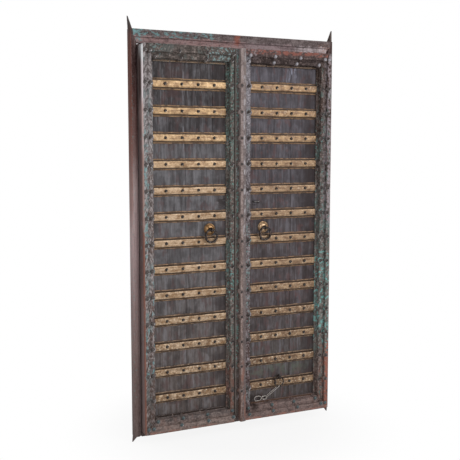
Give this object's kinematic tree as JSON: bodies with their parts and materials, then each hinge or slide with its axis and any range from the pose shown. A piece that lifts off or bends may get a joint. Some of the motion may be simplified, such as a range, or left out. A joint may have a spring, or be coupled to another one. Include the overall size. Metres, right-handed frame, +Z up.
{
  "type": "carved double-leaf entry door with frame",
  "caption": "Antique carved double-leaf plank door in its timber frame, with scalloped border, brass-clad straps, iron studs, ring pulls and a chain hasp.",
  "frame": {"origin": "middle of the sill's underside, halfway through the frame's depth", "axes": "+X to the right seen from the front, +Y from the front to the back, +Z up"},
  "size_m": [1.196, 0.13, 2.203],
  "materials": {
    "frame_wood": "weathered, worn paint",
    "plank_wood": "weathered",
    "carved_wood": "weathered, worn paint",
    "strap_brass": "aged sheet",
    "boss_brass": "aged",
    "nail_iron": "worn",
    "forged_iron": "worn",
    "chain_iron": "rusted"
  },
  "bodies": {
    "frame": {"left_jamb": "frame_wood", "right_jamb": "frame_wood", "head": "frame_wood", "sill": "frame_wood"},
    "left_leaf": {"left_hanging_plank": "plank_wood", "left_middle_plank": "plank_wood", "left_meeting_plank": "plank_wood", "left_hanging_stile": "carved_wood", "left_meeting_stile": "carved_wood", "left_hanging_strip": "carved_wood", "left_top_rail": "carved_wood", "left_bottom_rail": "carved_wood", "left_strap_01": "strap_brass", "left_strap_02": "strap_brass", "left_strap_03": "strap_brass", "left_strap_04": "strap_brass", "left_strap_05": "strap_brass", "left_strap_06": "strap_brass", "left_strap_07": "strap_brass", "left_strap_08": "strap_brass", "left_strap_09": "strap_brass", "left_strap_10": "strap_brass", "left_strap_11": "strap_brass", "left_strap_12": "strap_brass", "left_strap_13": "strap_brass", "left_nails": "nail_iron", "left_pull_boss": "boss_brass", "left_pull_eye": "forged_iron"},
    "right_leaf": {"right_hanging_plank": "plank_wood", "right_meeting_plank": "plank_wood", "right_hanging_stile": "carved_wood", "right_meeting_stile": "carved_wood", "right_hanging_strip": "carved_wood", "right_top_rail": "carved_wood", "right_bottom_rail": "carved_wood", "right_astragal": "carved_wood", "right_strap_01": "strap_brass", "right_strap_02": "strap_brass", "right_strap_03": "strap_brass", "right_strap_04": "strap_brass", "right_strap_05": "strap_brass", "right_strap_06": "strap_brass", "right_strap_07": "strap_brass", "right_strap_08": "strap_brass", "right_strap_09": "strap_brass", "right_strap_10": "strap_brass", "right_strap_11": "strap_brass", "right_strap_12": "strap_brass", "right_strap_13": "strap_brass", "right_nails": "nail_iron", "right_pull_boss": "boss_brass", "right_eyes": "forged_iron", "right_latch_staple": "forged_iron"},
    "left_ring": {"left_pull_ring": "forged_iron"},
    "right_ring": {"right_pull_ring": "forged_iron"},
    "chain_ring": {"chain_ring": "chain_iron"},
    "chain_link": {"chain_long_link": "chain_iron"},
    "chain_eight": {"chain_eight_link": "chain_iron"}
  },
  "joints": [
    {"name": "left_leaf_pivot", "type": "hinge", "parent": "frame", "child": "left_leaf", "pos_m": [-0.525, 0, 1], "axis": [0, 0, 1], "range_deg": [0, 95]},
    {"name": "right_leaf_pivot", "type": "hinge", "parent": "frame", "child": "right_leaf", "pos_m": [0.525, 0, 1], "axis": [0, 0, -1], "range_deg": [0, 95]},
    {"name": "left_ring_hinge", "type": "hinge", "parent": "left_leaf", "child": "left_ring", "pos_m": [-0.165, -0.058, 1.08371], "axis": [-1, 0, 0], "range_deg": [0, 110]},
    {"name": "right_ring_hinge", "type": "hinge", "parent": "right_leaf", "child": "right_ring", "pos_m": [0.155, -0.058, 1.08371], "axis": [-1, 0, 0], "range_deg": [0, 110]},
    {"name": "chain_ring_hinge", "type": "hinge", "parent": "right_leaf", "child": "chain_ring", "pos_m": [0.247, -0.058, 0.23359], "axis": [-1, 0, 0], "range_deg": [0, 100]},
    {"name": "chain_link_hinge", "type": "hinge", "parent": "chain_ring", "child": "chain_link", "pos_m": [0.247, -0.058, 0.17859], "axis": [-1, 0, 0], "range_deg": [0, 60]},
    {"name": "chain_eight_hinge", "type": "hinge", "parent": "chain_link", "child": "chain_eight", "pos_m": [0.172, -0.0386, 0.1188], "axis": [0, 1, 0], "range_deg": [0, 30]}
  ]
}
